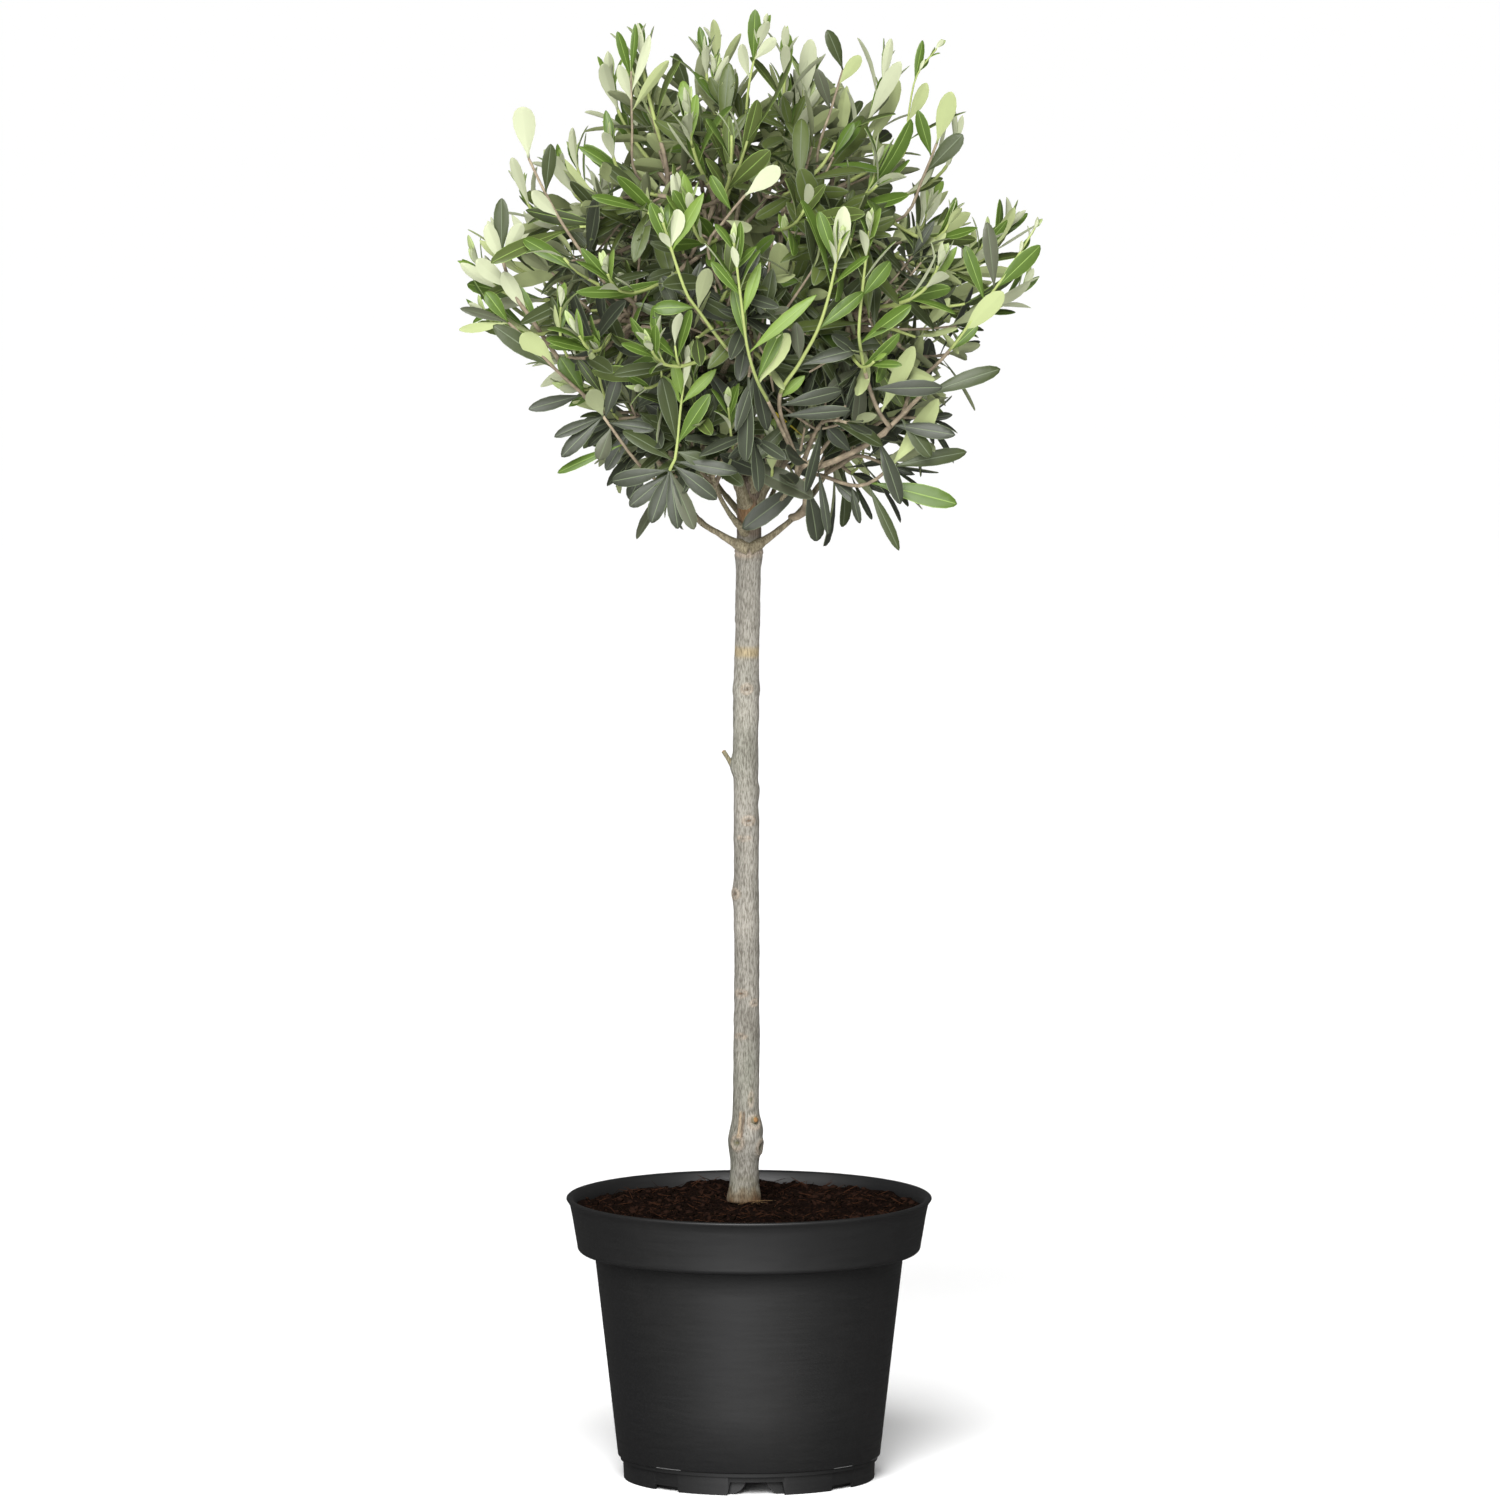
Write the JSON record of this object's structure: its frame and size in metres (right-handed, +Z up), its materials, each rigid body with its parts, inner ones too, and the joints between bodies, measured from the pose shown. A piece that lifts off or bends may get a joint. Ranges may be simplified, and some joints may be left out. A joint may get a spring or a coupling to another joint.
{
  "type": "potted standard olive tree",
  "caption": "Olive tree grown as a standard, with a clear straight stem and a loose round head of narrow leaves, in a black plastic nursery pot filled with compost.",
  "frame": {"origin": "On the pot's vertical axis, on the ground that the pot stands on.", "axes": "+Z up along the stem, -Y towards the viewer of the picture, +X to that viewer's right."},
  "size_m": [0.4243, 0.4216, 1.1004],
  "materials": {
    "pot_plastic": "satin black moulded plastic, slightly scuffed",
    "compost": "dark crumbly peat compost with reddish-brown fibres",
    "bark": "smooth light grey-beige bark with fine vertical fissures, knots and pruning scars",
    "foliage": "leathery olive leaves, green above and pale sage below, on thin green and grey-brown twigs"
  },
  "bodies": {
    "root": {"pot": "pot_plastic", "compost": "compost", "trunk": "bark", "bough_skirt_1": "bark", "bough_skirt_2": "bark", "bough_skirt_3": "bark", "bough_skirt_4": "bark", "bough_skirt_5": "bark", "bough_skirt_6": "bark", "bough_side_1": "bark", "bough_side_2": "bark", "bough_side_3": "bark", "bough_side_4": "bark", "bough_side_5": "bark", "bough_side_6": "bark", "bough_upper_1": "bark", "bough_upper_2": "bark", "bough_upper_3": "bark", "bough_upper_4": "bark", "bough_upper_5": "bark", "bough_upper_6": "bark", "bough_top": "bark", "foliage_skirt_1": "foliage", "foliage_skirt_2": "foliage", "foliage_skirt_3": "foliage", "foliage_skirt_4": "foliage", "foliage_skirt_5": "foliage", "foliage_skirt_6": "foliage", "foliage_side_1": "foliage", "foliage_side_2": "foliage", "foliage_side_3": "foliage", "foliage_side_4": "foliage", "foliage_side_5": "foliage", "foliage_side_6": "foliage", "foliage_upper_1": "foliage", "foliage_upper_2": "foliage", "foliage_upper_3": "foliage", "foliage_upper_4": "foliage", "foliage_upper_5": "foliage", "foliage_upper_6": "foliage", "foliage_top": "foliage"}
  },
  "joints": []
}
